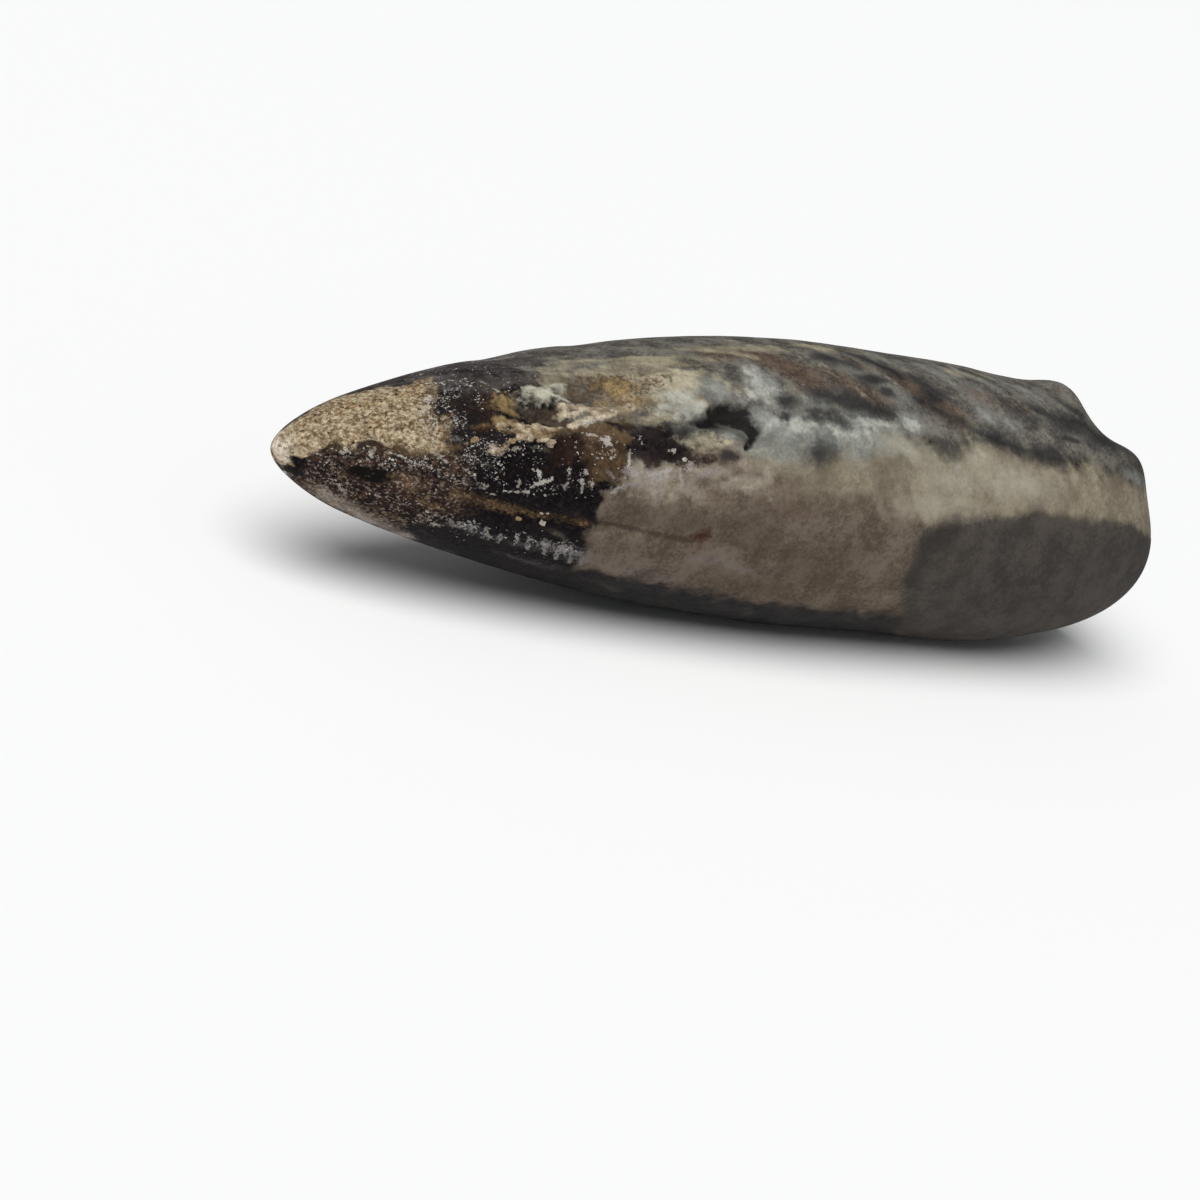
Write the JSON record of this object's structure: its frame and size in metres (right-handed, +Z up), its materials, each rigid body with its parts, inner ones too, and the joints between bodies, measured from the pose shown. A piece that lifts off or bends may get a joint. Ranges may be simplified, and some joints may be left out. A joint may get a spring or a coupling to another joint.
{
  "type": "belemnite fossil",
  "caption": "Worn belemnite guard: a stout cigar of dark calcite, pointed at one end and broken off in a step at the other, lying on its side.",
  "frame": {"origin": "the middle of the bounding box's underside, in the plane of the surface that the fossil lies on", "axes": "+X runs along the guard from the tip towards the broken end, +Y is the back, +Z is up as it lies on its worn flat"},
  "size_m": [0.082, 0.0228, 0.0224],
  "materials": {
    "calcite": "weathered, dull, slightly glossy where dark"
  },
  "bodies": {
    "root": {"rostrum": "calcite"}
  },
  "joints": []
}
